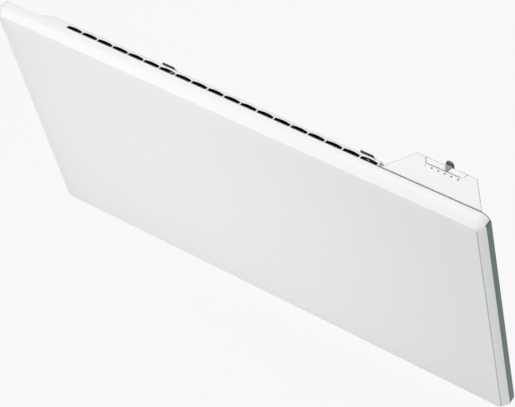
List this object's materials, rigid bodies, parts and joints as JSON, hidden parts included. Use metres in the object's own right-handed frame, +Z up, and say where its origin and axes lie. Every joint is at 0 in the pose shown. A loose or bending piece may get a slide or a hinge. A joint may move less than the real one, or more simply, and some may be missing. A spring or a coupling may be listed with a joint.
{
  "type": "wall panel convector heater",
  "caption": "Wide, shallow wall heater: flat bevelled steel front over a pressed casing with air slots, a fin element, a slider thermostat and a hook-on wall bracket.",
  "frame": {"origin": "on the wall's face, behind the middle of the front panel", "axes": "+X to the right along the panel's width as seen from the room, +Y into the wall, +Z up"},
  "size_m": [0.72, 0.063, 0.3971],
  "materials": {
    "panel_paint": "satin powder coat",
    "casing_paint": "satin powder coat",
    "zinc_steel": "bright zinc plate",
    "bracket_steel": "satin powder coat",
    "fin_aluminium": "mill finish",
    "element_steel": "heat-tinted",
    "housing_plastic": "fine matt",
    "knob_plastic": "fine matt",
    "black_plastic": "matt",
    "steatite": "unglazed",
    "board_laminate": "solder-masked",
    "grommet_rubber": "soft matt",
    "lead_brown": "woven sleeve",
    "lead_blue": "woven sleeve",
    "lead_green": "woven sleeve",
    "brass_parts": "machined"
  },
  "bodies": {
    "wall_bracket": {"bracket_arm_left": "bracket_steel", "bracket_arm_right": "bracket_steel", "bracket_crossbar": "bracket_steel", "bracket_rivets": "zinc_steel", "catch_pin_left": "zinc_steel", "catch_pin_right": "zinc_steel"},
    "heater": {"front_panel": "panel_paint", "rear_casing": "casing_paint", "casing_screws": "zinc_steel", "mounting_posts": "zinc_steel", "heat_shield": "zinc_steel", "shield_rivets": "zinc_steel", "duct_end_plate_left": "zinc_steel", "duct_end_plate_right": "zinc_steel", "element_fins": "fin_aluminium", "element_tube": "element_steel", "element_terminals": "zinc_steel", "element_insulators": "steatite", "thermal_cutout": "black_plastic", "cutout_strap": "zinc_steel", "control_housing_cover": "housing_plastic", "control_housing_base": "housing_plastic", "housing_screws": "zinc_steel", "lead_grommet": "grommet_rubber", "cord_gland": "black_plastic", "gland_nut": "black_plastic", "control_board": "board_laminate", "slide_potentiometer": "zinc_steel", "power_relay": "black_plastic", "terminal_block": "housing_plastic", "terminal_screws": "brass_parts", "room_sensor": "black_plastic", "earth_screw": "brass_parts", "lead_live": "lead_brown", "lead_cutout_to_element": "lead_brown", "lead_neutral": "lead_blue", "lead_earth": "lead_green", "wall_buffers": "grommet_rubber"},
    "slider": {"slider_knob": "knob_plastic", "slider_carriage": "knob_plastic", "potentiometer_wiper": "black_plastic"},
    "left_catch": {"catch_left": "zinc_steel", "catch_spring_left": "zinc_steel"},
    "right_catch": {"catch_right": "zinc_steel", "catch_spring_right": "zinc_steel"}
  },
  "joints": [
    {"name": "heater_lift", "type": "slide", "parent": "wall_bracket", "child": "heater", "axis": [0, 0, 1], "range_m": [0, 0.01]},
    {"name": "thermostat_slide", "type": "slide", "parent": "heater", "child": "slider", "axis": [1, 0, 0], "range_m": [-0.0243, 0.0193]},
    {"name": "catch_left_pivot", "type": "hinge", "parent": "wall_bracket", "child": "left_catch", "pos_m": [-0.1003, -0.012, 0.116], "axis": [-1, 0, 0], "range_deg": [0, 5], "stiffness_Nm_per_rad": 0.5},
    {"name": "catch_right_pivot", "type": "hinge", "parent": "wall_bracket", "child": "right_catch", "pos_m": [0.1889, -0.012, 0.116], "axis": [-1, 0, 0], "range_deg": [0, 5], "stiffness_Nm_per_rad": 0.5}
  ],
  "couplings": [
    {"joint": "catch_left_pivot", "follows": "heater_lift", "rad_per_m": 8},
    {"joint": "catch_right_pivot", "follows": "heater_lift", "rad_per_m": 8}
  ]
}
